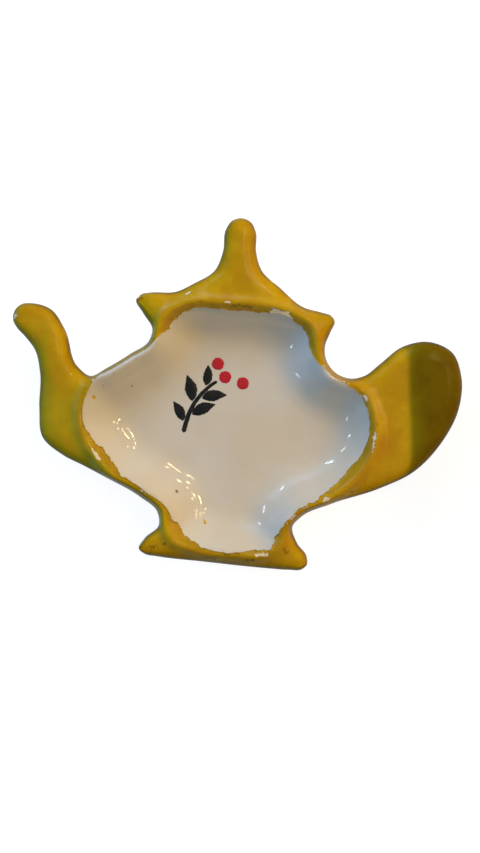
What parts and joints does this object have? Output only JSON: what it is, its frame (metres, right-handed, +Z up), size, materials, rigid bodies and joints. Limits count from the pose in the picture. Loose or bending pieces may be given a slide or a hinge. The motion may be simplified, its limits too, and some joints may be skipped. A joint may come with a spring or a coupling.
{
  "type": "tea bag rest",
  "caption": "Teapot-shaped glazed dish with a shallow well for a used tea bag and a painted spout, handle, lid and foot rim.",
  "frame": {"origin": "centre of the bounding box in plan, on the surface that the dish stands on", "axes": "+Z up, +X along the length towards the handle, +Y towards the lid knob"},
  "size_m": [0.1198, 0.0918, 0.0142],
  "materials": {
    "clay": "matt",
    "glaze": "gloss",
    "yellow_paint": "satin gloss",
    "dark_paint": "satin",
    "red_paint": "satin"
  },
  "bodies": {
    "root": {"clay_body": "clay", "white_glaze": "glaze", "rim_paint": "yellow_paint", "sprig_stem": "dark_paint", "sprig_leaves": "dark_paint", "sprig_berries": "red_paint"}
  },
  "joints": []
}
